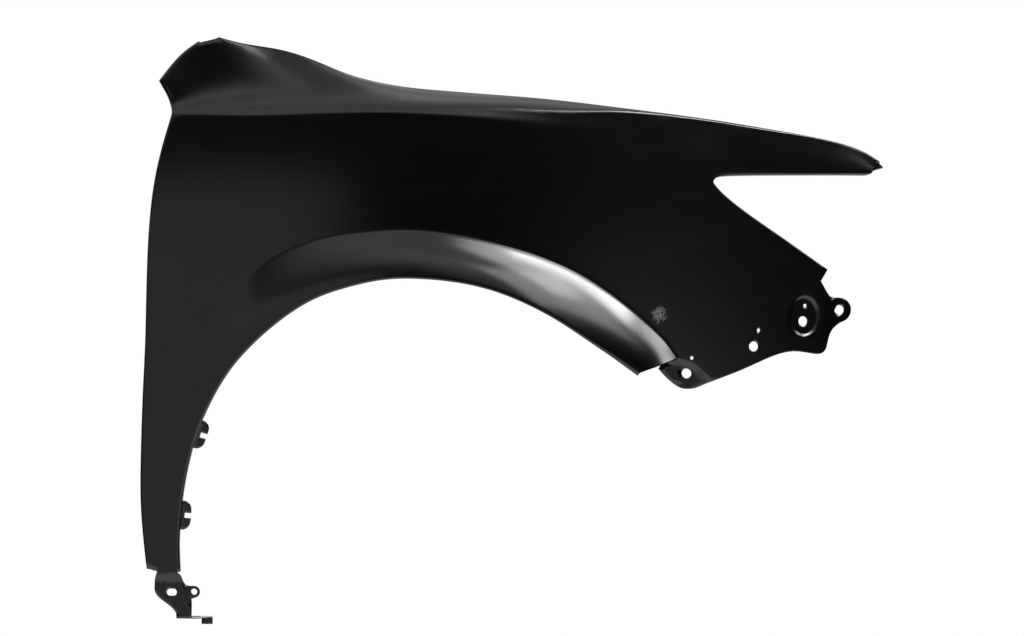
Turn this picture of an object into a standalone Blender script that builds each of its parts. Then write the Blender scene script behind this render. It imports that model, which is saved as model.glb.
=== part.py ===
"""Front fender of a car: one panel pressed from thin steel sheet.

The panel is the right-hand one. +X points to the front of the car, +Y inboard and +Z up, so the
outer face looks along -Y. It is modelled as the press shop makes it: the outer skin is drawn first,
then its edges are folded into flanges, then the ears, tabs and embossed pads are set, and the holes
are pierced last. Outlines are set out from the centre of the wheel arch, and the finished panel is
moved so that its origin lies under a bolt pad of the hood ledge.
"""

import math

import bmesh
import bpy
from mathutils import Vector

# Main sizes, in metres. The outlines below were drawn for a panel of the drawn size, and are stretched
# from it to these.
PANEL_LENGTH = 1.026
PANEL_HEIGHT = 0.806
DRAWN_SIZE = (1.026, 0.806)

# Sheet and folds.
SHEET_THICKNESS = 0.0008
EDGE_RADIUS = 0.003
LIP_RADIUS = 0.004
LEDGE_RADIUS = 0.003
CREASE_FILLET = 0.005
EDGE_MARGIN = 0.005

# Flanges, measured from the end of the fold.
ARCH_LIP_WIDTH = 0.013
DOOR_FLANGE_WIDTH = 0.011
LAMP_FLANGE_WIDTH = 0.010
LEDGE_WIDTH = 0.026
LEDGE_DROP = 0.019
LEDGE_TIP_WIDTH = 0.009

# Crown of the outer skin.
FRONT_PLAN_RADIUS = 1.050
REAR_PLAN_RADIUS = 8.000
SIDE_CROWN_RADIUS = 2.600
SIDE_CROWN_HEIGHT = 0.150

# Wheel-arch flare.
FLARE_TOP = 0.027
FLARE_FRONT = 0.033
FLARE_STARTS_AT = 0.22
FLARE_FULL_AT = 0.60
CREASE_STARTS_AT = 0.36
CREASE_FULL_AT = 0.56


def place(x, *rest):
    """Return a drawn point, (x, z) or (x, y, z), stretched to the panel's main sizes."""
    z = rest[-1] * PANEL_HEIGHT / DRAWN_SIZE[1]
    return (x * PANEL_LENGTH / DRAWN_SIZE[0], *rest[:-1], z)


def drawn(points):
    """Return drawn points stretched to the panel's main sizes."""
    return [place(*point) for point in points]


# Outlines in side view, (x, z) from the centre of the wheel arch.
ARCH_OUTLINE = drawn([
    (-0.350, -0.049), (-0.351, -0.003), (-0.342, 0.079), (-0.318, 0.162), (-0.269, 0.244), (-0.182, 0.318),
    (-0.100, 0.348), (-0.032, 0.355), (0.063, 0.343), (0.145, 0.310), (0.227, 0.257), (0.276, 0.2215),
])
CREASE_LINE = drawn([
    (-0.373, -0.051), (-0.373, 0.078), (-0.355, 0.187), (-0.315, 0.283), (-0.254, 0.362), (-0.172, 0.403),
    (-0.090, 0.416), (-0.035, 0.418), (0.019, 0.413), (0.090, 0.398), (0.145, 0.381), (0.200, 0.356),
    (0.255, 0.319), (0.310, 0.270), (0.331, 0.2415),
])
DOOR_OUTLINE = drawn([
    (-0.397, -0.045), (-0.403, 0.014), (-0.405, 0.064), (-0.402, 0.180), (-0.398, 0.262), (-0.394, 0.406),
    (-0.386, 0.487), (-0.369, 0.558), (-0.362, 0.579),
])
SHOULDER_LINE = drawn([
    (-0.362, 0.579), (-0.254, 0.577), (-0.145, 0.580), (-0.049, 0.580), (0.060, 0.573), (0.156, 0.560),
    (0.294, 0.530), (0.382, 0.484),
])
SHOULDER_RUNS_OUT = drawn([
    (0.156, 0.560), (0.225, 0.5475), (0.294, 0.531), (0.340, 0.5165), (0.382, 0.504), (0.420, 0.497),
    (0.480, 0.493), (0.630, 0.491),
])
LAMP_OUTLINE = drawn([
    (0.382, 0.484), (0.387, 0.477), (0.394, 0.469), (0.422, 0.4455), (0.478, 0.4065), (0.5425, 0.3605),
])
NOSE_OUTLINE = drawn([
    (0.382, 0.484), (0.386, 0.489), (0.396, 0.491), (0.446, 0.4915), (0.503, 0.491), (0.605, 0.490),
])
FRONT_OUTLINE = drawn([
    (0.5425, 0.3605), (0.532, 0.344), (0.541, 0.3275), (0.5435, 0.300), (0.5425, 0.265), (0.5415, 0.259),
    (0.540, 0.253), (0.538, 0.2465),
])
BUMPER_OUTLINE = drawn([
    (0.331, 0.2415), (0.336, 0.239), (0.351, 0.235), (0.366, 0.224), (0.377, 0.2085), (0.403, 0.2175),
    (0.430, 0.2275), (0.457, 0.240), (0.4925, 0.2515), (0.528, 0.2405), (0.538, 0.2465),
])

# Edges along the top, (x, y, z); y is the depth inboard.
PILLAR_EDGE = drawn([
    (-0.375, 0.055, 0.6241), (-0.348, 0.068, 0.6583), (-0.323, 0.074, 0.6755), (-0.300, 0.078, 0.6805),
])
HOOD_EDGE = drawn([
    (-0.300, 0.078, 0.6805), (-0.267, 0.083, 0.6716), (-0.213, 0.096, 0.6644), (-0.171, 0.109, 0.6513),
    (-0.117, 0.121, 0.6291), (-0.051, 0.118, 0.6142), (0.035, 0.103, 0.6064), (0.146, 0.088, 0.5978),
    (0.255, 0.088, 0.5851), (0.366, 0.107, 0.5701), (0.450, 0.136, 0.5558), (0.534, 0.172, 0.5393),
    (0.591, 0.198, 0.5220), (0.621, 0.207, 0.5010),
])

# Shoulder section: elevation of the sheet, in degrees, just above the shoulder line and at the hood edge,
# and how far each of the two reaches as a share of the section's chord.
REAR_SHOULDER_ANGLE = 38.0
REAR_HOOD_ANGLE = 83.0
FRONT_HOOD_ANGLE = 17.0
NOSE_HOOD_ANGLE = 40.0
SHOULDER_SOFTENS = (-0.150, 0.220)
HORN_LEVELS_OUT = (-0.270, -0.090)
NOSE_ROLLS_OVER = (0.400, 0.610)
HORN_HANDLES = (0.42, 0.42)
MIDDLE_HANDLES = (0.38, 0.38)
NOSE_HANDLES = (0.60, 0.30)
HORN_FADES = (-0.260, -0.080)
NOSE_TIGHTENS = (-0.020, 0.200)
PILLAR_HOLLOW_FADES = (-0.360, -0.300)

# Liner ears on the lip of the rear leg, by their distance along the arch from its lower end.
EAR_DISTANCES = (0.077, 0.191)
EAR_SLOT = 0.007
EAR_LOBE = 0.0165
EAR_REACH = 0.009
EAR_RADIUS = 0.002
EAR_ROOT = 0.002
EAR_TAPER = 0.010
# Strips of an ear lobe: share of its reach, and share of its taper.
EAR_STRIPS = ((0.45, 0.22), (0.80, 0.60), (1.0, 1.0))
EAR_TIP_ROUNDING = 0.93

# Joggles and embossed pads.
TAB_JOGGLE = 0.004
CORNER_TAB_JOGGLE = 0.003
EAR_JOGGLE = 0.006
PAD_DEPTH = 0.004
PAD_CENTRE = place(0.508, 0.296)
PAD_FLAT = (0.017, 0.024)
PAD_RIM = (0.023, 0.030)
PAD_SIDES = 20
PAD_CLEARANCE = 1.08
PAD_INNER_RING = 0.45
# Section of the pad's wall: share of the way from rim to flat, and share of the depth.
PAD_WALL = ((0.0, 0.0), (0.35, 0.15), (0.75, 0.90), (1.0, 1.0))

# Holes: diameters, and places in side view.
BOLT_HOLE = 0.014
LOCATING_HOLE = 0.005
BUMPER_BOLTS = drawn([(0.437, 0.256), (0.508, 0.289)])
BUMPER_LOCATORS = drawn([(0.351, 0.242), (0.444, 0.278), (0.511, 0.3105)])
CORNER_TAB_HOLE = place(0.344, 0.221)
FRONT_EAR_HOLE = place(0.558, 0.303)
FRONT_EAR_RADIUS = 0.0175
FRONT_EAR_NECK = 0.30
FRONT_EAR_STEPS = 9
SILL_EAR_HOLE = place(-0.3315, -0.0765)
SILL_EAR_HOLE_RADIUS = 0.0045
SILL_EAR_RADIUS = 0.0085
SILL_EAR_STEPS = 7
SILL_TAB_HOLE = place(-0.362, -0.077)
SILL_TAB_SLOT = (0.014, 0.010)
LEDGE_BOLTS_AT = (0.14, 0.42, 0.66, 0.84)
LEDGE_SLOT = (0.014, 0.009)
HOLE_SIDES = 16
HOLE_RINGS = (0.5, 0.86, 1.0)
PUNCH_REACH = 0.008

# Free outline of the corner tab in side view, from its bumper end round to its end behind the flare.
CORNER_TAB_OUTLINE = drawn([
    (0.366, 0.2045), (0.357, 0.200), (0.346, 0.199), (0.335, 0.200), (0.324, 0.208), (0.313, 0.218),
    (0.305, 0.228), (0.309, 0.235), (0.319, 0.2365),
])

# Front and rear edge of the sill tab in side view, from the top row down. The tab is joggled below its
# first row, which has only this share of the joggle.
SILL_TAB_FRONT = drawn([
    (-0.3485, -0.0545), (-0.3475, -0.0605), (-0.3430, -0.0680), (-0.3385, -0.0770), (-0.3350, -0.0860),
    (-0.3345, -0.0950), (-0.3350, -0.1040),
])
SILL_TAB_REAR = drawn([
    (-0.3845, -0.0550), (-0.3855, -0.0605), (-0.3857, -0.0680), (-0.3860, -0.0775), (-0.3790, -0.0858),
    (-0.3660, -0.0945), (-0.3560, -0.1040),
])
JOGGLE_OF_FIRST_ROW = 0.15
SILL_TAB_TOP = place(-0.370, -0.050)
SILL_EAR_ROOT_ROW = 3

# The origin lies on the underside of this bolt pad of the ledge, in front of its slot.
ORIGIN_PAD = 1
ORIGIN_AHEAD_OF_SLOT = 0.016

# Foot that bolts under the sill, placed from the rear lower corner of the tab.
FOOT_DEPTH = 0.036
FOOT_LENGTH = 0.046
FOOT_AHEAD_OF_TAB = 0.002
FOOT_BELOW_TAB = 0.010
FOOT_LIP = 0.009
FOOT_LIP_RADIUS = 0.002
FOOT_LIP_STEPS = 3
FOOT_STEPS = (0.25, 0.6, 1.0)
FOOT_SLOT_AT = 0.6
FOOT_SLOT = (0.013, 0.009)

# How many columns and rows of faces the sheet is laid out in.
SHOULDER_COLUMNS = 30
PILLAR_COLUMNS = 4
LAMP_STEPS = (0.02, 0.06, 0.12, 0.22, 0.36, 0.52, 0.68, 0.84, 1.0)
NOSE_STEPS = (0.02, 0.05, 0.10, 0.18, 0.28, 0.38, 0.48, 0.58, 0.68, 0.78, 0.88, 0.96, 1.0)
FLARE_ROWS = 5
SKIN_ROWS = len(BUMPER_OUTLINE) - 1
SHOULDER_ROWS = 7
FLANGE_EVENING = 4
CURVE_STEPS = 12
EAR_COLUMN_SPACING = 0.020
REAR_COLUMNS = 8

# Where the groups of columns end, as shares of the arch and of the crease: leg, lamp corner, front edge
# and the margin beside the bumper edge.
ARCH_GROUPS = (0.414, 0.865, 0.955, 0.9945)
CREASE_GROUPS = (0.404, 0.884, 0.956, 0.9955)
# Where the lamp corner lies along the hood edge, and where the skin starts to follow the bumper edge.
HOOD_AT_LAMP_CORNER = 0.725
BUMPER_PULL_STARTS = 0.84

# Wall of the hood ledge: its lean inboard at the rear and at the front, and where the lean settles.
WALL_LEAN_REAR = 0.85
WALL_LEAN_FRONT = 0.15
WALL_LEAN_SETTLES = 0.35
WALL_SHARE_OF_BAND = 0.45
LEDGE_WIDENS = (0.0, 0.05)
LEDGE_NARROWS = (0.88, 1.0)


def smooth_step(value, low, high):
    """Return 0 below low and 1 above high, with a smooth rise between them."""
    t = min(1.0, max(0.0, (value - low) / (high - low)))
    return t * t * (3.0 - 2.0 * t)


def mix(a, b, t):
    """Return the value that lies the share t of the way from a to b."""
    return a + (b - a) * t


def smooth_curve(points):
    """Return a fine polyline on a smooth curve through the points."""
    pts = [Vector(p) for p in points]
    ends = [pts[0] * 2 - pts[1]] + pts + [pts[-1] * 2 - pts[-2]]
    line = [pts[0]]
    for p0, p1, p2, p3 in zip(ends, ends[1:], ends[2:], ends[3:]):
        span = (p2 - p1).length
        lean_in = (p2 - p0) * (span / (p2 - p0).length)
        lean_out = (p3 - p1) * (span / (p3 - p1).length)
        for step in range(1, CURVE_STEPS + 1):
            t = step / CURVE_STEPS
            line.append(p1 * (2 * t**3 - 3 * t**2 + 1) + lean_in * (t**3 - 2 * t**2 + t)
                        + p2 * (3 * t**2 - 2 * t**3) + lean_out * (t**3 - t**2))
    return line


def line_length(line):
    """Return the length of a polyline."""
    return sum((b - a).length for a, b in zip(line, line[1:]))


def places_along(line, shares):
    """Return the points that lie at the given shares of a polyline's length."""
    total = line_length(line)
    found = []
    walked = 0.0
    index = 0
    for share in shares:
        goal = min(1.0, max(0.0, share)) * total
        while index < len(line) - 2 and walked + (line[index + 1] - line[index]).length < goal:
            walked += (line[index + 1] - line[index]).length
            index += 1
        span = (line[index + 1] - line[index]).length
        found.append(line[index].lerp(line[index + 1], min(1.0, (goal - walked) / span)))
    return found


def move_sideways(line, distance):
    """Move a polyline in side view to its left by a distance."""
    moved = []
    for index, point in enumerate(line):
        before = line[max(0, index - 1)]
        after = line[min(len(line) - 1, index + 1)]
        along = (after - before).normalized()
        moved.append(point + Vector((-along.y, along.x)) * distance)
    return moved


def body_depth(x, z):
    """Return the depth of the plain body side, without the flare, at a place in side view."""
    plan_radius = FRONT_PLAN_RADIUS if x > 0 else REAR_PLAN_RADIUS
    return x * x / (2 * plan_radius) + (z - SIDE_CROWN_HEIGHT) ** 2 / (2 * SIDE_CROWN_RADIUS)


def on_body(point, extra=0.0):
    """Return the place in space of a side-view point on the body side."""
    return Vector((point[0], body_depth(point[0], point[1]) + extra, point[1]))


def body_normal(x, z):
    """Return the way inboard through the plain body side."""
    plan_radius = FRONT_PLAN_RADIUS if x > 0 else REAR_PLAN_RADIUS
    return Vector((-x / plan_radius, 1.0, -(z - SIDE_CROWN_HEIGHT) / SIDE_CROWN_RADIUS)).normalized()


def flat_seat(centre, depth):
    """Return a function that puts side-view points on a flat seat, sunk below the body at its centre."""
    origin = on_body(centre, depth)
    normal = body_normal(*centre)

    def on_seat(point):
        rise = (point[0] - origin.x) * normal.x + (point[1] - origin.z) * normal.z
        return Vector((point[0], origin.y - rise / normal.y, point[1]))

    return on_seat


def flare_depth(share, across):
    """Return how far the flare stands out: share runs along the arch, across from crease to lip."""
    height = FLARE_TOP * smooth_step(share, FLARE_STARTS_AT, FLARE_FULL_AT)
    height += (FLARE_FRONT - FLARE_TOP) * smooth_step(share, FLARE_FULL_AT, 1.0)
    crisp = smooth_step(share, CREASE_STARTS_AT, CREASE_FULL_AT)
    rolled = 1.0 - (1.0 - across) ** 2
    soft = across * across * (3.0 - 2.0 * across)
    return height * mix(soft, rolled, crisp)


def join_rows(bm, first, second):
    """Fill the strip between two rows of vertices with faces."""
    for a, b, c, d in zip(first, first[1:], second[1:], second):
        bm.faces.new((a, b, c, d))


def lay_rows(bm, rows):
    """Fill a grid of vertices, given row by row, with faces."""
    for first, second in zip(rows, rows[1:]):
        join_rows(bm, first, second)


def new_row(bm, places):
    """Make one vertex at each place."""
    return [bm.verts.new(place) for place in places]


def sheet_normal(vertex):
    """Return the outer normal of the sheet at a vertex."""
    total = Vector((0, 0, 0))
    for face in vertex.link_faces:
        normal = face.normal.copy()
        total += normal if normal.y < 0 else -normal
    return total.normalized()


def edge_frames(row):
    """Return, for each vertex of an open edge, the way off the sheet and the way to its inner side."""
    frames = []
    for index, vertex in enumerate(row):
        along = row[min(len(row) - 1, index + 1)].co - row[max(0, index - 1)].co
        normal = sheet_normal(vertex)
        off = along.cross(normal).normalized()
        middle = Vector((0, 0, 0))
        for face in vertex.link_faces:
            middle += face.calc_center_median()
        if off.dot(vertex.co * len(vertex.link_faces) - middle) < 0:
            off.negate()
        frames.append((off, -normal))
    return frames


def fold(bm, row, starts, ends, radius, widths, bend_steps=2, flat_steps=1):
    """Fold a flange on an edge, from the start directions to the end ones, and return its new rows."""
    rows = [row]
    bends = []
    for start, end in zip(starts, ends):
        side = (end - start * start.dot(end)).normalized()
        bends.append((start, side, math.acos(max(-1.0, min(1.0, start.dot(end))))))
    for step in range(1, bend_steps + 1):
        places = []
        for vertex, (start, side, angle) in zip(row, bends):
            turned = angle * step / bend_steps
            places.append(vertex.co + start * (radius * math.sin(turned))
                          + side * (radius * (1.0 - math.cos(turned))))
        rows.append(new_row(bm, places))
    last = rows[-1]
    for step in range(1, flat_steps + 1):
        share = step / flat_steps
        places = [v.co + end * (width * share) for v, end, width in zip(last, ends, widths)]
        rows.append(new_row(bm, places))
    lay_rows(bm, rows)
    return rows


def arch_shares():
    """Return the shares of the arch length at which the sheet has a column, and its group ends."""
    length = line_length(smooth_curve(ARCH_OUTLINE))
    half = EAR_SLOT / 2 + EAR_LOBE
    stops = [0.0]
    for centre in EAR_DISTANCES:
        gap = centre - half - stops[-1]
        count = max(1, round(gap / EAR_COLUMN_SPACING))
        stops += [stops[-1] + gap * (i + 1) / count for i in range(count)]
        stops += [centre - EAR_SLOT / 2, centre + EAR_SLOT / 2, centre + half]
    rear_end = length * ARCH_GROUPS[0]
    stops += [mix(stops[-1], rear_end, (i + 1) / REAR_COLUMNS) for i in range(REAR_COLUMNS)]
    return [stop / length for stop in stops]


def main_columns():
    """Return the columns of the outer skin as three lists: arch edge, crease and outer edge."""
    rear = arch_shares()
    rear_end = rear[-1]
    lamp_start, front_start, margin = ARCH_GROUPS[1:]
    shoulder = [i / SHOULDER_COLUMNS for i in range(1, SHOULDER_COLUMNS + 1)]
    lamp_count = len(LAMP_STEPS)
    front_count = len(FRONT_OUTLINE) - 2
    front_steps = [(i + 1) / front_count for i in range(front_count)]

    shares = list(rear)
    shares += [mix(rear_end, lamp_start, s) for s in shoulder]
    shares += [mix(lamp_start, front_start, (i + 1) / lamp_count) for i in range(lamp_count)]
    shares += [mix(front_start, margin, s) for s in front_steps] + [1.0]

    crease_rear, crease_lamp, crease_front, crease_margin = CREASE_GROUPS
    crease = [share / rear_end * crease_rear for share in rear]
    crease += [mix(crease_rear, crease_lamp, s) for s in shoulder]
    crease += [mix(crease_lamp, crease_front, (i + 1) / lamp_count) for i in range(lamp_count)]
    crease += [mix(crease_front, crease_margin, s) for s in front_steps] + [1.0]

    arch_line = move_sideways(smooth_curve(ARCH_OUTLINE), LIP_RADIUS)
    door_line = move_sideways(smooth_curve(DOOR_OUTLINE), -EDGE_RADIUS)
    lamp_line = move_sideways(smooth_curve(LAMP_OUTLINE), -EDGE_RADIUS)
    shoulder_line = smooth_curve(SHOULDER_LINE)
    shoulder_line[0] = door_line[-1]
    shoulder_line[-1] = lamp_line[0]
    outer = places_along(door_line, [share / rear_end for share in rear])
    outer += places_along(shoulder_line, shoulder)
    outer += places_along(lamp_line, LAMP_STEPS)
    outer += [Vector(p) for p in FRONT_OUTLINE[1:]]
    return shares, places_along(arch_line, shares), places_along(smooth_curve(CREASE_LINE), crease), outer


def skin_shares(length):
    """Return the shares at which rows cross the skin between crease and outer edge."""
    margin = min(0.2, EDGE_MARGIN / length)
    inner = SKIN_ROWS - 2
    return [0.0] + [mix(margin, 1.0 - margin, i / inner) for i in range(inner + 1)] + [1.0]


def lay_main_skin(bm):
    """Lay the skin round the arch; return its grid of vertices, one list for each column."""
    shares, arch, crease, outer = main_columns()
    bumper = [Vector(p) for p in BUMPER_OUTLINE]
    columns = []
    for share, low, mid, high in zip(shares, arch, crease, outer):
        column = []
        flare_length = (mid - low).length
        last = 1.0 - min(0.3, CREASE_FILLET / flare_length)
        flare_shares = [last * i / (FLARE_ROWS - 1) for i in range(FLARE_ROWS)]
        for t in flare_shares:
            place = low.lerp(mid, t)
            column.append(on_body(place, -flare_depth(share, 1.0 - t)))
        pull = smooth_step(share, BUMPER_PULL_STARTS, 1.0)
        for t, edge in zip(skin_shares((high - mid).length), bumper):
            straight = crease[-1].lerp(outer[-1], t)
            place = mid.lerp(high, t) + (edge - straight) * pull
            column.append(on_body(place))
        columns.append(new_row(bm, column))
    lay_rows(bm, columns)
    return columns


def height_on(line, x):
    """Return the height of a side-view polyline at a place along it, or None beyond its ends."""
    for before, after in zip(line, line[1:]):
        if before.x <= x <= after.x:
            return mix(before.y, after.y, (x - before.x) / (after.x - before.x))
    return None


def section_handles(x):
    """Return how far the two angles of the shoulder section reach, as shares of its chord."""
    horn = smooth_step(x, *HORN_FADES)
    nose = smooth_step(x, *NOSE_TIGHTENS)
    reaches = [mix(a, b, horn) for a, b in zip(HORN_HANDLES, MIDDLE_HANDLES)]
    return [mix(a, b, nose) for a, b in zip(reaches, NOSE_HANDLES)]


def section_curve(start, end, start_angle, end_angle, count):
    """Return the points of a smooth section that climbs from start to end at the given elevations."""
    chord = math.hypot(end.y - start.y, end.z - start.z)
    low, high = [chord * reach for reach in section_handles(start.x)]
    run = end.x - start.x
    lag = run * mix(1.0, 2 / 3, smooth_step(start.x, *PILLAR_HOLLOW_FADES))
    first = start + Vector((0.0, low * math.cos(start_angle), low * math.sin(start_angle)))
    second = end - Vector((lag, high * math.cos(end_angle), high * math.sin(end_angle)))
    margin = min(0.2, EDGE_MARGIN / (end - start).length)
    steps = [margin + (1.0 - margin) * i / (count - 1) for i in range(count)]
    places = []
    for t in steps:
        near = start * (1 - t) ** 3 + first * (3 * t * (1 - t) ** 2)
        places.append(near + second * (3 * t * t * (1 - t)) + end * t**3)
    return places


def lay_shoulder(bm, columns, first, last):
    """Lay the band from the shoulder line and nose up to the hood edge, and return its columns."""
    nose_line = move_sideways(smooth_curve(NOSE_OUTLINE), EDGE_RADIUS)
    roots = [columns[i][-1] for i in range(first, last + 1)]
    nose_line[0] = Vector((roots[-1].co.x, roots[-1].co.z))
    roots += new_row(bm, [on_body(p) for p in places_along(nose_line, NOSE_STEPS)])
    pillar = places_along(smooth_curve(PILLAR_EDGE), [i / PILLAR_COLUMNS for i in range(PILLAR_COLUMNS)])
    hood_line = smooth_curve(HOOD_EDGE)
    hood_count = SHOULDER_COLUMNS - PILLAR_COLUMNS
    shares = [HOOD_AT_LAMP_CORNER * i / hood_count for i in range(hood_count + 1)]
    shares += [mix(HOOD_AT_LAMP_CORNER, 1.0, s) for s in NOSE_STEPS]
    tops = pillar + places_along(hood_line, shares)
    run_out = smooth_curve(SHOULDER_RUNS_OUT)
    grid = []
    for root, top in zip(roots, tops):
        faded = height_on(run_out, root.co.x)
        start = root.co if faded is None else on_body((root.co.x, max(root.co.z, faded)))
        lean = (start.z - SIDE_CROWN_HEIGHT) / SIDE_CROWN_RADIUS
        softness = smooth_step(root.co.x, *SHOULDER_SOFTENS)
        start_angle = mix(math.radians(REAR_SHOULDER_ANGLE), math.atan2(1.0, lean), softness)
        end_angle = mix(REAR_HOOD_ANGLE, FRONT_HOOD_ANGLE, smooth_step(root.co.x, *HORN_LEVELS_OUT))
        end_angle = mix(end_angle, NOSE_HOOD_ANGLE, smooth_step(root.co.x, *NOSE_ROLLS_OVER))
        places = section_curve(start, top, start_angle, math.radians(end_angle), SHOULDER_ROWS)
        grid.append([root] + new_row(bm, places))
    lay_rows(bm, grid)
    return grid


def even_out(ways):
    """Return directions along an edge with their sudden turns shared out over the neighbours."""
    for _ in range(FLANGE_EVENING):
        inner = [(a + b * 2 + c).normalized() for a, b, c in zip(ways, ways[1:], ways[2:])]
        ways = ways[:1] + inner + ways[-1:]
    return ways


def fold_inner_flange(bm, row, width):
    """Fold a plain flange square to the skin."""
    frames = edge_frames(row)
    inward = even_out([inner for _, inner in frames])
    fold(bm, row, [off for off, _ in frames], inward, EDGE_RADIUS, [width] * len(row))


def ledge_levels(tops, drops):
    """Return the height of the hood ledge at each column, level across each bolt pad."""
    levels = [top.co.z - drop for top, drop in zip(tops, drops)]
    pads = []
    for share in LEDGE_BOLTS_AT:
        middle = round(share * (len(tops) - 1))
        for index in (middle - 1, middle, middle + 1):
            levels[index] = tops[middle].co.z - drops[middle]
        pads.append(middle)
    return levels, pads


def fold_hood_ledge(bm, grid):
    """Fold the wall and the bolted ledge under the hood edge; return the middles of its bolt pads."""
    tops = [column[-1] for column in grid[PILLAR_COLUMNS:-1]]
    roots = [column[0] for column in grid[PILLAR_COLUMNS:-1]]
    frames = edge_frames(tops)
    count = len(tops) - 1
    walls = []
    drops = []
    for index, (top, root) in enumerate(zip(tops, roots)):
        lean = mix(WALL_LEAN_REAR, WALL_LEAN_FRONT, smooth_step(index / count, 0.0, WALL_LEAN_SETTLES))
        walls.append(Vector((0.0, lean, -1.0)).normalized())
        drops.append(min(LEDGE_DROP, WALL_SHARE_OF_BAND * (top.co.z - root.co.z)))
    levels, pads = ledge_levels(tops, drops)
    bend = fold(bm, tops, [f[0] for f in frames], walls, LEDGE_RADIUS, [0.0] * len(tops), 3, 0)[-1]
    inboard = Vector((0.0, 1.0, 0.0))
    widths = []
    for vertex, wall, level in zip(bend, walls, levels):
        turned = math.acos(wall.dot(inboard))
        rise = LEDGE_RADIUS * (1.0 - math.cos(turned))
        widths.append((vertex.co.z - level - rise) / -wall.z)
    wall_rows = [bend, new_row(bm, [v.co + w * d for v, w, d in zip(bend, walls, widths)])]
    lay_rows(bm, wall_rows)
    reach = []
    for index in range(count + 1):
        narrowed = smooth_step(index / count, *LEDGE_NARROWS)
        full = min(smooth_step(index / count, *LEDGE_WIDENS), 1.0 - narrowed)
        reach.append(mix(LEDGE_TIP_WIDTH, LEDGE_WIDTH, full))
    rows = fold(bm, wall_rows[-1], walls, [inboard] * len(tops), LEDGE_RADIUS, reach, 2, 2)
    return [rows[-2][pad].co.copy() for pad in pads]


def fold_arch_lip(bm, columns):
    """Fold the arch lip and its slotted liner ears."""
    edge = [column[0] for column in columns]
    frames = edge_frames(edge)
    inward = [Vector((0.0, 1.0, 0.0))] * len(edge)
    starts = [off for off, _ in frames]
    rows = fold(bm, edge, starts, inward, LIP_RADIUS, [ARCH_LIP_WIDTH] * len(edge), 3, 1)
    length = line_length(smooth_curve(ARCH_OUTLINE))
    shares = arch_shares()
    for centre in EAR_DISTANCES:
        slot_side = (centre - EAR_SLOT / 2) / length
        slot_start = min(range(len(shares)), key=lambda i: abs(shares[i] - slot_side))
        add_liner_ear(bm, rows[-1][slot_start - 1:slot_start + 3], starts[slot_start])


def add_liner_ear(bm, root, toward_wheel):
    """Turn a slotted ear toward the wheel from four vertices of the lip."""
    out = Vector((toward_wheel.x, 0.0, toward_wheel.z)).normalized()
    inboard = Vector((0.0, 1.0, 0.0))
    count = len(root)
    base = fold(bm, root, [inboard] * count, [out] * count, EAR_RADIUS, [EAR_ROOT] * count, 2, 1)[-1]
    across = (base[3].co - base[0].co).normalized()
    for side, inner, sign in ((0, 1, 1.0), (3, 2, -1.0)):
        strips = [[base[side], base[inner]]]
        for share, taper in EAR_STRIPS:
            reach = out * (EAR_REACH * share)
            rounded = reach * (EAR_TIP_ROUNDING if share == 1.0 else 1.0)
            outer_place = base[side].co + rounded + across * (sign * EAR_TAPER * taper)
            strips.append(new_row(bm, [outer_place, base[inner].co + reach]))
        lay_rows(bm, strips)


def oval(count, centre, radii):
    """Return the points of an oval in side view."""
    points = []
    for index in range(count):
        angle = 2 * math.pi * index / count
        points.append(centre + Vector((radii.x * math.cos(angle), radii.y * math.sin(angle))))
    return points


def press_pad(bm, columns):
    """Press the oval bumper pad into the skin: cut its place out and set it back in, sunk inboard."""
    centre = Vector(PAD_CENTRE)
    clear = Vector(PAD_RIM) * PAD_CLEARANCE
    doomed = set()
    for column in columns:
        for vertex in column:
            for face in vertex.link_faces:
                if face_meets_oval(face, centre, clear):
                    doomed.add(face)
    rim_edges = set()
    for face in doomed:
        for edge in face.edges:
            if any(other not in doomed for other in edge.link_faces):
                rim_edges.add(edge)
    bmesh.ops.delete(bm, geom=list(doomed), context="FACES")
    rim_edges = [edge for edge in rim_edges if edge.is_valid]
    rings = []
    on_pad = flat_seat(PAD_CENTRE, PAD_DEPTH)
    for share, depth in PAD_WALL:
        outline = oval(PAD_SIDES, centre, Vector(PAD_RIM).lerp(Vector(PAD_FLAT), share))
        rings.append(new_row(bm, [on_body(p).lerp(on_pad(p), depth) for p in outline]))
    inner_outline = oval(PAD_SIDES, centre, Vector(PAD_FLAT) * PAD_INNER_RING)
    rings.append(new_row(bm, [on_pad(p) for p in inner_outline]))
    for first, second in zip(rings, rings[1:]):
        join_rows(bm, first + first[:1], second + second[:1])
    middle = bm.verts.new(on_pad(centre))
    inner = rings[-1]
    for index in range(0, PAD_SIDES, 2):
        bm.faces.new((inner[index], inner[index + 1], inner[(index + 2) % PAD_SIDES], middle))
    outer = rings[0]
    outer_edges = [bm.edges.get((a, b)) for a, b in zip(outer, outer[1:] + outer[:1])]
    bmesh.ops.bridge_loops(bm, edges=rim_edges + outer_edges)


def face_meets_oval(face, centre, radii):
    """Say whether a face of the skin reaches into an oval in side view."""
    samples = [v.co for v in face.verts] + [face.calc_center_median()]
    samples += [edge.verts[0].co.lerp(edge.verts[1].co, 0.5) for edge in face.edges]
    for place in samples:
        if ((place.x - centre.x) / radii.x) ** 2 + ((place.z - centre.y) / radii.y) ** 2 < 1.0:
            return True
    return False


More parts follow.
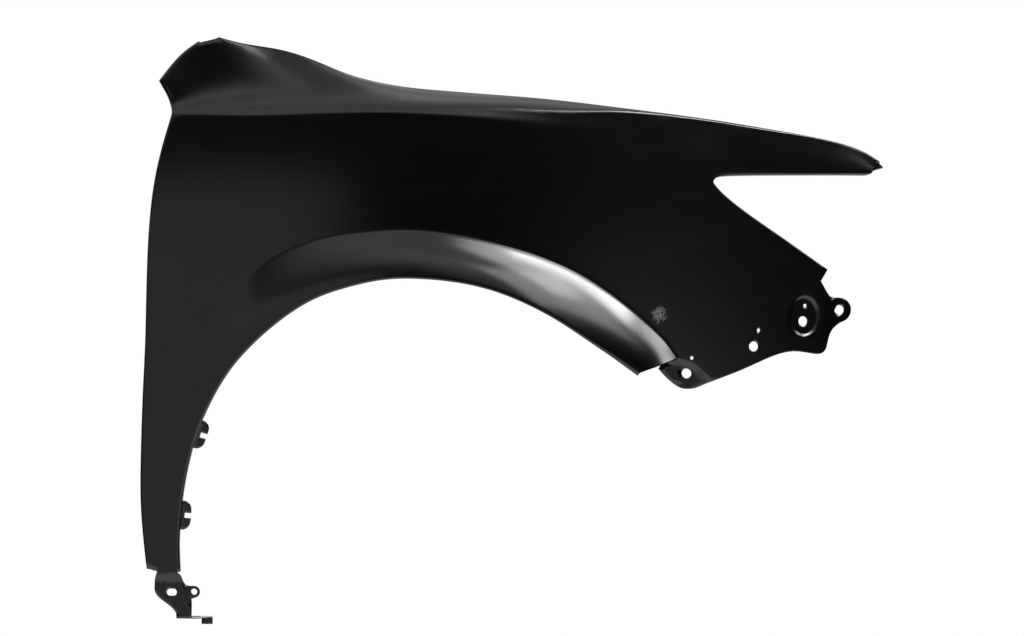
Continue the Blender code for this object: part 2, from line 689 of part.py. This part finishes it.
def add_ear(bm, root, centre, radius, hole_radius, place_on, steps):
    """Fill a round ear with a hole in front of a stretch of open edge that runs downward."""
    first = math.atan2(root[0].co.z - centre.y, root[0].co.x - centre.x)
    last = math.atan2(root[-1].co.z - centre.y, root[-1].co.x - centre.x)
    sweep = (first - last) % (2 * math.pi)
    outline = list(root)
    for step in range(1, steps + 1):
        angle = last + sweep * step / (steps + 1)
        place = centre + Vector((math.cos(angle), math.sin(angle))) * radius
        outline.append(bm.verts.new(place_on(place)))
    ring_around_hole(bm, outline, centre, hole_radius, place_on)


def add_front_ear(bm, root):
    """Add the round ear in front of the bumper pad, joggled inboard."""
    centre = Vector(FRONT_EAR_HOLE)
    on_ear = flat_seat(FRONT_EAR_HOLE, EAR_JOGGLE)
    neck = new_row(bm, [on_ear(Vector((v.co.x, v.co.z)).lerp(centre, FRONT_EAR_NECK)) for v in root])
    join_rows(bm, root, neck)
    add_ear(bm, neck, centre, FRONT_EAR_RADIUS, BOLT_HOLE / 2, on_ear, FRONT_EAR_STEPS)


def ring_around_hole(bm, outline, centre, radius, place_on):
    """Fill between a closed outline and a round hole with rings of faces."""
    rings = [outline]
    angles = [math.atan2(v.co.z - centre.y, v.co.x - centre.x) for v in outline]
    for share in HOLE_RINGS:
        places = []
        for vertex, angle in zip(outline, angles):
            flat = Vector((vertex.co.x, vertex.co.z))
            hole = centre + Vector((math.cos(angle), math.sin(angle))) * radius
            places.append(place_on(flat.lerp(hole, share)))
        rings.append(new_row(bm, places))
    for first, second in zip(rings, rings[1:]):
        join_rows(bm, first + first[:1], second + second[:1])


def add_corner_tab(bm, columns):
    """Add the joggled bolt tab at the front foot of the flare."""
    edge = columns[-1]
    root = edge[FLARE_ROWS:FLARE_ROWS + 5]
    on_tab = flat_seat(CORNER_TAB_HOLE, CORNER_TAB_JOGGLE)
    outline = root + new_row(bm, [on_tab(Vector(p)) for p in CORNER_TAB_OUTLINE])
    ring_around_hole(bm, outline, Vector(CORNER_TAB_HOLE), BOLT_HOLE / 2, on_tab)


def on_sill_tab(point):
    """Return the place in space of a side-view point on the flat of the sill tab."""
    return Vector((point[0], body_depth(*SILL_TAB_TOP) + TAB_JOGGLE, point[1]))


def add_sill_tab(bm, columns):
    """Add the joggled tab below the rear leg, with its small front ear and its foot under the sill."""
    bottom = columns[0]
    root = bottom[:FLARE_ROWS + 5]
    count = len(root) - 1
    rows = [root]
    for front, rear in zip(SILL_TAB_FRONT, SILL_TAB_REAR):
        joggle = 1.0 if rows[1:] else JOGGLE_OF_FIRST_ROW
        places = []
        for index, vertex in enumerate(root):
            place = on_sill_tab(Vector(front).lerp(Vector(rear), index / count))
            place.y = mix(vertex.co.y, place.y, joggle)
            places.append(place)
        rows.append(new_row(bm, places))
    lay_rows(bm, rows)
    ear_root = [row[0] for row in rows[SILL_EAR_ROOT_ROW:SILL_EAR_ROOT_ROW + 3]]
    centre = Vector(SILL_EAR_HOLE)
    add_ear(bm, ear_root, centre, SILL_EAR_RADIUS, SILL_EAR_HOLE_RADIUS, on_sill_tab, SILL_EAR_STEPS)
    add_foot(bm, rows[-1])


def foot_corner():
    """Return the place in side view of the foot's rear end."""
    return SILL_TAB_REAR[-1][0] + FOOT_AHEAD_OF_TAB, SILL_TAB_REAR[-1][1] - FOOT_BELOW_TAB


def add_foot(bm, root):
    """Bend the sill tab inboard into its level foot, and turn down the front of the foot's far edge."""
    down = Vector((0.0, 0.0, -1.0))
    inboard = Vector((0.0, 1.0, 0.0))
    size = len(root)
    rear, level = foot_corner()
    neck = root[0].co.z - level - EDGE_RADIUS
    neck_end = new_row(bm, [v.co + down * neck for v in root])
    join_rows(bm, root, neck_end)
    start = fold(bm, neck_end, [down] * size, [inboard] * size, EDGE_RADIUS, [0.0] * size, 2, 0)[-1]
    plate = [start]
    for share in FOOT_STEPS:
        places = []
        for index, vertex in enumerate(start):
            x = rear + FOOT_LENGTH * (1.0 - index / (size - 1))
            places.append(Vector((x, vertex.co.y + FOOT_DEPTH * share, level)))
        plate.append(new_row(bm, places))
    lay_rows(bm, plate)
    far_edge = plate[-1][:FOOT_LIP_STEPS + 1]
    count = len(far_edge)
    fold(bm, far_edge, [inboard] * count, [down] * count, FOOT_LIP_RADIUS, [FOOT_LIP] * count)


def slot_cutter(name, centre, size, along, axis):
    """Make a cutter with round ends: size is its full length and width, along its long way."""
    radius = size[1] / 2
    run = size[0] / 2 - radius
    side = axis.cross(along)
    outline = []
    for index in range(HOLE_SIDES):
        angle = 2 * math.pi * (index + 0.5) / HOLE_SIDES
        shift = math.copysign(run, math.cos(angle))
        outline.append(along * (shift + radius * math.cos(angle)) + side * (radius * math.sin(angle)))
    bm = bmesh.new()
    low = new_row(bm, [centre + p - axis * PUNCH_REACH for p in outline])
    high = new_row(bm, [centre + p + axis * PUNCH_REACH for p in outline])
    bm.faces.new(low)
    bm.faces.new(high)
    join_rows(bm, low + low[:1], high + high[:1])
    bmesh.ops.recalc_face_normals(bm, faces=bm.faces)
    mesh = bpy.data.meshes.new(name)
    bm.to_mesh(mesh)
    bm.free()
    cutter = bpy.data.objects.new(name, mesh)
    bpy.context.collection.objects.link(cutter)
    cutter.hide_render = True
    cutter.display_type = "WIRE"
    return cutter


def pierce(panel, cutter):
    """Cut a hole through the panel."""
    cutter.parent = panel
    cut = panel.modifiers.new(cutter.name, "BOOLEAN")
    cut.operation = "DIFFERENCE"
    cut.solver = "EXACT"
    cut.object = cutter


def primer_black():
    """Return the black electro-coat primer of the panel."""
    material = bpy.data.materials.new("black_primer")
    material.use_nodes = True
    shader = material.node_tree.nodes["Principled BSDF"]
    shader.inputs["Base Color"].default_value = (0.008, 0.008, 0.009, 1.0)
    shader.inputs["Roughness"].default_value = 0.42
    shader.inputs["Metallic"].default_value = 0.0
    return material


def build_panel():
    """Build the whole fender as one object."""
    bm = bmesh.new()
    columns = lay_main_skin(bm)
    shoulder_start = len(arch_shares()) - 1
    shoulder_end = shoulder_start + SHOULDER_COLUMNS
    grid = lay_shoulder(bm, columns, shoulder_start, shoulder_end)
    bm.normal_update()

    door_edge = [column[-1] for column in columns[:shoulder_start]]
    rear_edge = door_edge + grid[0] + [column[-1] for column in grid[1:PILLAR_COLUMNS]]
    lamp_end = shoulder_end + len(LAMP_STEPS)
    lamp_edge = [column[-1] for column in columns[shoulder_end + 1:lamp_end + 1]][::-1]
    nose_edge = [column[0] for column in grid[SHOULDER_COLUMNS:]]
    front_root = [columns[lamp_end + i][-1] for i in (2, 3, 4)]

    pads = fold_hood_ledge(bm, grid)
    bm.normal_update()
    fold_inner_flange(bm, rear_edge, DOOR_FLANGE_WIDTH)
    fold_inner_flange(bm, lamp_edge + nose_edge + grid[-1][1:], LAMP_FLANGE_WIDTH)
    fold_arch_lip(bm, columns)
    add_front_ear(bm, front_root)
    add_corner_tab(bm, columns)
    add_sill_tab(bm, columns)
    press_pad(bm, columns)

    bmesh.ops.remove_doubles(bm, verts=bm.verts, dist=0.00001)
    bmesh.ops.recalc_face_normals(bm, faces=bm.faces)
    bm.normal_update()
    skin_face = min(bm.faces, key=lambda f: (f.calc_center_median() - Vector((0.0, 0.0, 0.5))).length)
    if skin_face.normal.y > 0:
        bmesh.ops.reverse_faces(bm, faces=bm.faces)
    mesh = bpy.data.meshes.new("fender_panel")
    bm.to_mesh(mesh)
    bm.free()
    panel = bpy.data.objects.new("fender_panel", mesh)
    bpy.context.collection.objects.link(panel)
    mesh.materials.append(primer_black())
    mesh.shade_smooth()
    mesh.set_sharp_from_angle(angle=math.radians(40))

    wall = panel.modifiers.new("sheet", "SOLIDIFY")
    wall.thickness = SHEET_THICKNESS
    wall.offset = -1.0
    wall.use_even_offset = True
    wall.use_quality_normals = True

    holes = [("bolt", BUMPER_BOLTS, BOLT_HOLE), ("locator", BUMPER_LOCATORS, LOCATING_HOLE)]
    for name, places, hole in holes:
        for index, (x, z) in enumerate(places):
            axis = body_normal(x, z)
            along = Vector((0, 0, 1)).cross(axis).normalized()
            cutter = slot_cutter("%s_%d" % (name, index), on_body((x, z)), (hole, hole), along, axis)
            pierce(panel, cutter)
    forward = Vector((1, 0, 0))
    up = Vector((0, 0, 1))
    sill_slot = on_sill_tab(SILL_TAB_HOLE)
    pierce(panel, slot_cutter("sill_slot", sill_slot, SILL_TAB_SLOT, forward, Vector((0, 1, 0))))
    foot_rear, foot_level = foot_corner()
    foot_slot = on_sill_tab((foot_rear + FOOT_LENGTH / 2, foot_level))
    foot_slot.y += EDGE_RADIUS + FOOT_DEPTH * FOOT_SLOT_AT
    pierce(panel, slot_cutter("foot_slot", foot_slot, FOOT_SLOT, forward, up))
    for index, pad in enumerate(pads):
        pierce(panel, slot_cutter("ledge_slot_%d" % index, pad, LEDGE_SLOT, forward, up))
    panel.location = Vector((-ORIGIN_AHEAD_OF_SLOT, 0.0, SHEET_THICKNESS)) - pads[ORIGIN_PAD]
    return panel


for old in list(bpy.data.objects):
    bpy.data.objects.remove(old, do_unlink=True)
build_panel()
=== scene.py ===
"""Studio picture of a black-primed front fender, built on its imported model.

The panel hangs in its place on the car: +X is the front of the car, -Y faces the viewer, +Z is up.
"""

import math

import bpy
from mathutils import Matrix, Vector
from mathutils.bvhtree import BVHTree


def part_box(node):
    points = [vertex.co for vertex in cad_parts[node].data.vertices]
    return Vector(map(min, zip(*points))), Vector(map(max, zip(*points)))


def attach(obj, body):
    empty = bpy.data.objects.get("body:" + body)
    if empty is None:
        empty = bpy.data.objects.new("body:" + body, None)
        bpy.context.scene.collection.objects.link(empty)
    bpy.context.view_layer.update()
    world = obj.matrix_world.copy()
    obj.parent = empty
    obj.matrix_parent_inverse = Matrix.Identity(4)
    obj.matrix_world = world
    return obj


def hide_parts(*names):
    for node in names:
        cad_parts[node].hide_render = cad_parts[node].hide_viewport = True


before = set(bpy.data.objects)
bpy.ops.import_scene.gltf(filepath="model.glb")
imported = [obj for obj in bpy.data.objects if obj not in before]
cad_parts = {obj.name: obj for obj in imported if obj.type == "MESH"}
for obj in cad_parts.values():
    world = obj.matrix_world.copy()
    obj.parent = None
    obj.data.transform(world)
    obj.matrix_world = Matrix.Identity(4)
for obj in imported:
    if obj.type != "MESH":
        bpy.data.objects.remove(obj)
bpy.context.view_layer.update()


# The fender panel.
# One sheet of 0.8 mm steel, drawn in a press, with its flanges folded, its tabs joggled and its holes
# pierced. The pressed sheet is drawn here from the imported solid, with the folds and arcs rounded off.
PANEL_NODE = "fender_panel"
MERGE_DISTANCE = 0.00002
QUAD_ANGLE = math.radians(30)
RIM_ANGLE = math.radians(62)
ROUNDING_LEVELS = 2
SMOOTH_ANGLE = math.radians(55)

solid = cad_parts[PANEL_NODE]
panel = solid.copy()
panel.data = solid.data.copy()
panel.name = "pressed_panel"
panel.parent = None
# The copy drops the solid's own marks, so that it counts as a new piece.
for key in list(panel.keys()):
    del panel[key]
bpy.context.scene.collection.objects.link(panel)

bpy.ops.object.select_all(action="DESELECT")
panel.select_set(True)
bpy.context.view_layer.objects.active = panel
bpy.ops.object.mode_set(mode="EDIT")
bpy.ops.mesh.select_mode(type="EDGE")
bpy.ops.mesh.select_all(action="SELECT")
bpy.ops.mesh.remove_doubles(threshold=MERGE_DISTANCE)
bpy.ops.mesh.tris_convert_to_quads(face_threshold=QUAD_ANGLE, shape_threshold=math.pi)
bpy.ops.mesh.select_all(action="DESELECT")
bpy.ops.mesh.edges_select_sharp(sharpness=RIM_ANGLE)
bpy.ops.transform.edge_crease(value=1.0)
bpy.ops.object.mode_set(mode="OBJECT")

rounding = panel.modifiers.new("rounding", "SUBSURF")
rounding.levels = ROUNDING_LEVELS
rounding.render_levels = ROUNDING_LEVELS
bpy.ops.object.modifier_apply(modifier=rounding.name)

# The last stroke of the press, in metres: the shoulder line is struck crisper than in the solid, and the
# flare is opened a little at its lip. Each row of the first list gives a place along the panel, the height
# of the crest there, how far the sheet comes out, and how far below and above the crest that fades.
# The places and heights were turned from pixels of the photo, and some heights
# were then corrected. A separate program turned pixels of the photo, picked by hand, into the places and
# heights. The other three columns were set to match reflections.
SHOULDER_STRIKE = [
    (-0.497, -0.0031, 0.0000, 0.0060, 0.0150),
    (-0.443, 0.0010, 0.0010, 0.0060, 0.0160),
    (-0.388, 0.0051, 0.0020, 0.0060, 0.0180),
    (-0.319, 0.0072, 0.0030, 0.0060, 0.0200),
    (-0.237, 0.0079, 0.0044, 0.0060, 0.0200),
    (-0.127, 0.0051, 0.0046, 0.0055, 0.0190),
    (-0.045, 0.0017, 0.0044, 0.0080, 0.0170),
    (0.010, -0.0011, 0.0048, 0.0095, 0.0150),
    (0.064, -0.0018, 0.0075, 0.0100, 0.0130),
    (0.119, -0.0020, 0.0106, 0.0098, 0.0200),
    (0.174, -0.0065, 0.0101, 0.0068, 0.0200),
    (0.229, -0.0134, 0.0087, 0.0056, 0.0200),
    (0.311, -0.0271, 0.0080, 0.0060, 0.0200),
    (0.407, -0.0429, 0.0056, 0.0090, 0.0200),
    (0.462, -0.0539, 0.0000, 0.0090, 0.0200),
]

# The flare by its angle round the wheel, in degrees: radius of the lip, radius of the crease, and how far
# the lip comes out. Apart from the first and last row, a separate program measured both radii on a render
# of the solid. The last column was set to match reflections.
WHEEL_MIDDLE = (-0.1617, -0.5889)
FLARE_OPENING = [
    (36.0, 0.3760, 0.4400, 0.0000),
    (40.0, 0.3733, 0.4377, 0.0022),
    (45.0, 0.3672, 0.4343, 0.0052),
    (50.0, 0.3617, 0.4316, 0.0074),
    (60.0, 0.3589, 0.4274, 0.0078),
    (70.0, 0.3569, 0.4226, 0.0066),
    (80.0, 0.3569, 0.4199, 0.0040),
    (90.0, 0.3576, 0.4233, 0.0014),
    (98.0, 0.3583, 0.4260, 0.0000),
]

# How deep behind the outer skin each stroke still moves the metal in full, and from where it moves nothing.
STRIKE_DEPTH = (0.003, 0.014)
OPENING_DEPTH = (0.016, 0.030)
SMALLEST_MOVE = 0.00002
IN_FRONT = -1.0


def blended(rows, place):
    """The values of a list of rows at a place, joined by smooth curves."""
    for index in range(len(rows) - 1):
        if rows[index][0] <= place <= rows[index + 1][0]:
            break
    else:
        return None
    before, start, stop, after = (rows[min(max(index + k, 0), len(rows) - 1)] for k in (-1, 0, 1, 2))
    t = (place - start[0]) / (stop[0] - start[0])
    values = []
    for a, b, c, d in zip(before[1:], start[1:], stop[1:], after[1:]):
        slope_in = (c - a) / (stop[0] - before[0]) * (stop[0] - start[0])
        slope_out = (d - b) / (after[0] - start[0]) * (stop[0] - start[0])
        values.append(
            (2 * t**3 - 3 * t**2 + 1) * b
            + (t**3 - 2 * t**2 + t) * slope_in
            + (3 * t**2 - 2 * t**3) * c
            + (t**3 - t**2) * slope_out
        )
    return values


def fade(value, full, none):
    """One up to full, nothing from none on, and a smooth step between them."""
    t = min(max((value - full) / (none - full), 0.0), 1.0)
    return 1.0 - t * t * (3.0 - 2.0 * t)


def struck_out(x, z):
    """How far the strike along the shoulder brings the sheet out."""
    row = blended(SHOULDER_STRIKE, x)
    if row is None:
        return 0.0
    crest, height, below, above = row
    if z < crest:
        return height * math.exp((z - crest) / below)
    return height * fade(z - crest, 0.0, above)


def opened_out(x, z):
    """How far the flare's opening brings the sheet out, or None where the sheet isn't part of the flare."""
    across = x - WHEEL_MIDDLE[0]
    up = z - WHEEL_MIDDLE[1]
    row = blended(FLARE_OPENING, math.degrees(math.atan2(up, across)))
    if row is None:
        return None
    lip, crease, height = row
    share = (math.hypot(across, up) - lip) / (crease - lip)
    if share >= 1.0:
        return None
    return height * (1.0 - max(share, 0.0)) ** 2


outer_skin = BVHTree.FromObject(panel, bpy.context.evaluated_depsgraph_get())
for vertex in panel.data.vertices:
    x, y, z = vertex.co
    out = opened_out(x, z)
    depth_range = OPENING_DEPTH
    if out is None:
        out = struck_out(x, z)
        depth_range = STRIKE_DEPTH
    if out < SMALLEST_MOVE:
        continue
    hit = outer_skin.ray_cast(Vector((x, IN_FRONT, z)), Vector((0.0, 1.0, 0.0)))[0]
    depth = y - hit.y if hit else 0.0
    vertex.co.y -= out * fade(depth, *depth_range)

bpy.ops.object.shade_smooth_by_angle(angle=SMOOTH_ANGLE)


# Black electro-coat primer.
# A thin dipped and baked coat: near black, satin, with a fine ripple, a little dust and faint rub marks
# from handling, and one chalky scuff above the front end of the flare.
PRIMER_BLACK = (0.0022, 0.0022, 0.0025, 1.0)
PRIMER_WORN = (0.0060, 0.0057, 0.0054, 1.0)
DUST_GREY = (0.090, 0.086, 0.080, 1.0)
CHALK_GREY = (0.300, 0.295, 0.285, 1.0)
PRIMER_IOR = 1.7
PRIMER_ROUGHNESS = 0.185

# Ripple and grain of the coat: waves in a metre, and height in metres.
RIPPLE_SCALE = 240.0
RIPPLE_HEIGHT = 0.000014
GRAIN_SCALE = 1500.0
GRAIN_HEIGHT = 0.0000020

# Marks in the coat, each from a noise: its scale, its detail, its stretch along each axis, and the noise
# values at which the mark starts and is full.
EVEN = (1.0, 1.0, 1.0)
WIPES = (5.0, 3.0, (1.0, 1.0, 3.0), 0.45, 0.75)
RUBS = (38.0, 4.0, (0.25, 1.0, 3.0), 0.62, 0.80)
SPECKS = (850.0, 1.0, EVEN, 0.74, 0.82)
FILM = (24.0, 5.0, EVEN, 0.35, 0.80)
SCRAPES = (420.0, 2.0, EVEN, 0.38, 0.60)

# How much of its colour each mark gives the coat, and how much roughness it adds.
WIPE_WEAR = 0.35
RUB_WEAR = 0.25
FILM_DUST = 0.02
SPECK_DUST = 0.10
SPECK_DUST_ON_TOP = 0.25
SCUFF_CHALK = 0.75
WIPE_DULLS = 0.020
RUB_DULLS = 0.030
FILM_DULLS = 0.030
SPECK_DULLS = 0.10
SCUFF_DULLS = 0.30

# The parts of the normal between which a face starts to gather dust, or to count as the outer face.
UPWARD = (-0.2, 0.9)
OUTWARD = (0.3, 0.8)

SCUFF_MIDDLE = (0.1725, -0.0900, -0.2790)
SCUFF_WIDTH = 0.0100
SCUFF_HEIGHT = 0.0115
SCUFF_EDGE = (0.55, 1.15)
SCUFF_EDGE_SCALE = 200.0
SCUFF_EDGE_DETAIL = 4.0
SCUFF_RAGGEDNESS = 1.6

# Sockets of the Mix node, when it mixes colours.
MIX_FACTOR = 0
MIX_UNDER = 6
MIX_OVER = 7
MIX_RESULT = 2


class Wire:
    """A socket of a node tree, so that shader maths can be written as expressions."""

    def __init__(self, tree, socket):
        self.tree = tree
        self.socket = socket

    def maths(self, operation, *others):
        return add_node(self.tree, "ShaderNodeMath", {"operation": operation}, [self, *others]).out()

    def __add__(self, other):
        return self.maths("ADD", other)

    __radd__ = __add__

    def __sub__(self, other):
        return self.maths("SUBTRACT", other)

    def __rsub__(self, other):
        return add_node(self.tree, "ShaderNodeMath", {"operation": "SUBTRACT"}, [other, self]).out()

    def __mul__(self, other):
        return self.maths("MULTIPLY", other)

    __rmul__ = __mul__

    def __pow__(self, other):
        return self.maths("POWER", other)


class Node:
    """A node with its tree, whose outputs are wires."""

    def __init__(self, tree, node):
        self.tree = tree
        self.node = node

    def out(self, name=0):
        return Wire(self.tree, self.node.outputs[name])


def plug(tree, socket, value):
    """Link a wire to a socket, or set the socket to a value."""
    if isinstance(value, Wire):
        tree.links.new(value.socket, socket)
    else:
        socket.default_value = value


def add_node(tree, kind, settings=None, values=None):
    """Add a node: its settings first, then the values or wires of its sockets."""
    node = tree.nodes.new(kind)
    for name, setting in (settings or {}).items():
        setattr(node, name, setting)
    pairs = values.items() if isinstance(values, dict) else enumerate(values or [])
    for name, value in pairs:
        plug(tree, node.inputs[name], value)
    return Node(tree, node)


primer = bpy.data.materials.new("black_primer")
primer.use_nodes = True
paint = primer.node_tree
shader = paint.nodes["Principled BSDF"]
shader.inputs["IOR"].default_value = PRIMER_IOR
spot = add_node(paint, "ShaderNodeTexCoord").out("Object")
normal = add_node(paint, "ShaderNodeNewGeometry").out("Normal")
facing = add_node(paint, "ShaderNodeSeparateXYZ", {}, [normal])


def cloud(scale, detail, stretch=EVEN):
    """Soft noise from 0 to 1 over the panel, with its middle at a half."""
    spread = add_node(paint, "ShaderNodeVectorMath", {"operation": "MULTIPLY"}, [spot, stretch]).out()
    values = {"Vector": spread, "Scale": scale, "Detail": detail}
    return add_node(paint, "ShaderNodeTexNoise", {}, values).out("Fac")


def step_up(value, low_end, high_end):
    """A mask that rises smoothly from 0 to 1 between two values."""
    settings = {"interpolation_type": "SMOOTHSTEP"}
    values = {"Value": value, "From Min": low_end, "From Max": high_end}
    return add_node(paint, "ShaderNodeMapRange", settings, values).out("Result")


def mark(scale, detail, stretch, start, full):
    """A mask of one kind of mark."""
    return step_up(cloud(scale, detail, stretch), start, full)


def tinted(mask, under, over):
    """One colour laid over another where the mask is 1."""
    values = {MIX_FACTOR: mask, MIX_UNDER: under, MIX_OVER: over}
    return add_node(paint, "ShaderNodeMix", {"data_type": "RGBA"}, values).out(MIX_RESULT)


# Handling: broad faint wipes along the panel, short rub marks across it, and dust that lies on what
# faces up.
wipes = mark(*WIPES)
rubs = mark(*RUBS)
specks = mark(*SPECKS)
upward = step_up(facing.out("Z"), *UPWARD)
film = mark(*FILM) * upward

# The scuff: a chalky patch of broken scrapes with a ragged edge, on the outer face alone.
from_scuff = add_node(paint, "ShaderNodeVectorMath", {"operation": "SUBTRACT"}, [spot, SCUFF_MIDDLE]).out()
in_scuff = add_node(
    paint,
    "ShaderNodeVectorMath",
    {"operation": "MULTIPLY"},
    [from_scuff, (1.0 / SCUFF_WIDTH, 0.0, 1.0 / SCUFF_HEIGHT)],
).out()
reach = add_node(paint, "ShaderNodeVectorMath", {"operation": "LENGTH"}, [in_scuff]).out("Value")
ragged = reach + (cloud(SCUFF_EDGE_SCALE, SCUFF_EDGE_DETAIL) - 0.5) * SCUFF_RAGGEDNESS
scuff = (1.0 - step_up(ragged, *SCUFF_EDGE)) * mark(*SCRAPES)
scuff = scuff * step_up(facing.out("Y") * -1.0, *OUTWARD)

colour = tinted(wipes * WIPE_WEAR + rubs * RUB_WEAR, PRIMER_BLACK, PRIMER_WORN)
colour = tinted(film * FILM_DUST + specks * (SPECK_DUST + upward * SPECK_DUST_ON_TOP), colour, DUST_GREY)
colour = tinted(scuff * SCUFF_CHALK, colour, CHALK_GREY)
plug(paint, shader.inputs["Base Color"], colour)

dulling = wipes * WIPE_DULLS + rubs * RUB_DULLS + film * FILM_DULLS
dulling = dulling + specks * SPECK_DULLS + scuff * SCUFF_DULLS
plug(paint, shader.inputs["Roughness"], dulling + PRIMER_ROUGHNESS)

relief = cloud(RIPPLE_SCALE, 1.0) * RIPPLE_HEIGHT + cloud(GRAIN_SCALE, 1.0) * GRAIN_HEIGHT
bump = add_node(paint, "ShaderNodeBump", {}, {"Height": relief, "Distance": 1.0})
plug(paint, shader.inputs["Normal"], bump.out("Normal"))

panel.data.materials.clear()
panel.data.materials.append(primer)
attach(panel, "root")
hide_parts(PANEL_NODE)


# Studio.
# A pale floor, a white cove behind the panel, softboxes above and ahead of its front end, a white card
# left of the camera, and a dim room in front of the panel, where the camera stands.
FLOOR_DROP = 0.55
FLOOR_SIZE = 4.0
FLOOR_GREY = 0.62
FLOOR_LIFT = 0.35

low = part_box(PANEL_NODE)[0]
bpy.ops.object.select_all(action="DESELECT")
bpy.ops.mesh.primitive_plane_add(size=FLOOR_SIZE, location=(0.0, 0.0, low.z - FLOOR_DROP))
floor = bpy.context.object
floor.name = "floor"

floor_paint = bpy.data.materials.new("floor_paint")
floor_paint.use_nodes = True
floor_tree = floor_paint.node_tree
floor_shader = floor_tree.nodes["Principled BSDF"]
floor_shader.inputs["Base Color"].default_value = (FLOOR_GREY, FLOOR_GREY, FLOOR_GREY, 1.0)
floor_shader.inputs["Roughness"].default_value = 1.0
floor_shader.inputs["Specular IOR Level"].default_value = 0.0
floor_shader.inputs["Emission Color"].default_value = (1.0, 1.0, 1.0, 1.0)
floor_ray = add_node(floor_tree, "ShaderNodeLightPath")
floor_seen = floor_ray.out("Is Camera Ray") + floor_ray.out("Is Glossy Ray")
floor_seen = floor_seen + floor_ray.out("Is Transmission Ray")
plug(floor_tree, floor_shader.inputs["Emission Strength"], floor_seen * FLOOR_LIFT)
floor.data.materials.append(floor_paint)

# Softboxes: where each hangs, its width and height, and its power in watts. All but the front one come
# from a separate program, which fitted the lights to the photo's tones by least squares. The strip's power
# was then lowered, and the front one was set apart from the fit.
SOFTBOXES = {
    "strip_softbox": ((0.853, -0.039, 0.894), (0.280, 0.958), 14.2),
    "front_softbox": ((1.180, 0.130, 0.300), (0.300, 0.340), 1.9),
    "wide_softbox": ((2.130, -1.726, 2.703), (3.086, 1.818), 46.7),
    "small_softbox": ((0.479, -0.331, 0.776), (0.386, 0.766), 3.8),
}
SOFTBOX_AIM = (0.038, -0.090, -0.268)

# A white card that hangs square to the panel, in front of its rear end. It stands in for a fifth patch
# of the fit that gave ROOM_LIGHT.
CARD_PLACE = (-0.860, -1.090, -0.380)
CARD_SIZE = (1.070, 1.060)
CARD_POWER = 1.03


def hang_light(name, at, aim, size, power):
    """Hang a flat soft light that faces a point."""
    lamp = bpy.data.lights.new(name, "AREA")
    lamp.shape = "RECTANGLE"
    lamp.size, lamp.size_y = size
    lamp.energy = power
    light_box = bpy.data.objects.new(name, lamp)
    light_box.location = at
    light_box.rotation_euler = (Vector(aim) - Vector(at)).to_track_quat("-Z", "Y").to_euler()
    light_box.visible_camera = False
    bpy.context.scene.collection.objects.link(light_box)


for name, (at, size, power) in SOFTBOXES.items():
    hang_light(name, at, SOFTBOX_AIM, size, power)
hang_light("side_card", CARD_PLACE, (CARD_PLACE[0], 0.0, CARD_PLACE[2]), CARD_SIZE, CARD_POWER)

# What the room gives back from each way: the middle of a bright patch, how fast it falls off (as a power
# of the cosine), and its strength. These come from the same fit to the photo's tones as the softboxes.
ROOM_LIGHT = [
    ((0.057, -0.653, 0.755), 25.0, 0.487),
    ((-0.502, 0.109, 0.858), 2.5, 0.746),
    ((0.467, -0.817, -0.338), 25.0, 1.189),
    ((0.058, 0.757, 0.651), 25.0, 0.411),
]

# The cove lies straight behind the panel: how squarely a way points to it where it starts and where it is
# full, and the light that it gives. In gloss it shows white.
COVE_STARTS = 0.900
COVE_IS_FULL = 0.995
COVE_LIGHT = 0.5

world = bpy.data.worlds.new("studio")
bpy.context.scene.world = world
world.use_nodes = True
air = world.node_tree
background = air.nodes["Background"]
background.inputs["Color"].default_value = (1.0, 1.0, 1.0, 1.0)
way = add_node(air, "ShaderNodeTexCoord").out("Generated")
light = 0.0
for middle, power, strength in ROOM_LIGHT:
    toward = add_node(air, "ShaderNodeVectorMath", {"operation": "DOT_PRODUCT"}, [way, middle]).out("Value")
    light = light + toward.maths("MAXIMUM", 0.0) ** power * strength
backward = add_node(air, "ShaderNodeSeparateXYZ", {}, [way]).out("Y")
cove = add_node(
    air,
    "ShaderNodeMapRange",
    {"interpolation_type": "SMOOTHSTEP"},
    {"Value": backward, "From Min": COVE_STARTS, "From Max": COVE_IS_FULL},
).out("Result")
air_ray = add_node(air, "ShaderNodeLightPath")
seen_in_gloss = air_ray.out("Is Glossy Ray") + air_ray.out("Is Transmission Ray")
light = light + cove * (COVE_LIGHT + seen_in_gloss * (1.0 - COVE_LIGHT))
is_view = air_ray.out("Is Camera Ray")
plug(air, background.inputs["Strength"], is_view + light * (1.0 - is_view))


# Camera.
# It looks straight at the outer face, from a little above the middle of the panel.
TARGET = (-0.028855, -0.072161, -0.284346)
CAMERA_DISTANCE = 9.0
CAMERA_ELEVATION = math.radians(3.0)
SENSOR_WIDTH = 36.0
VIEW_WIDTH = 1.40288

camera_data = bpy.data.cameras.new("camera")
camera_data.sensor_width = SENSOR_WIDTH
camera_data.lens = SENSOR_WIDTH * CAMERA_DISTANCE / VIEW_WIDTH
camera = bpy.data.objects.new("camera", camera_data)
camera.location = (
    TARGET[0],
    TARGET[1] - CAMERA_DISTANCE * math.cos(CAMERA_ELEVATION),
    TARGET[2] + CAMERA_DISTANCE * math.sin(CAMERA_ELEVATION),
)
camera.rotation_euler = (math.pi / 2 - CAMERA_ELEVATION, 0.0, 0.0)
bpy.context.scene.collection.objects.link(camera)
bpy.context.scene.camera = camera
bpy.context.scene.view_settings.view_transform = "Standard"
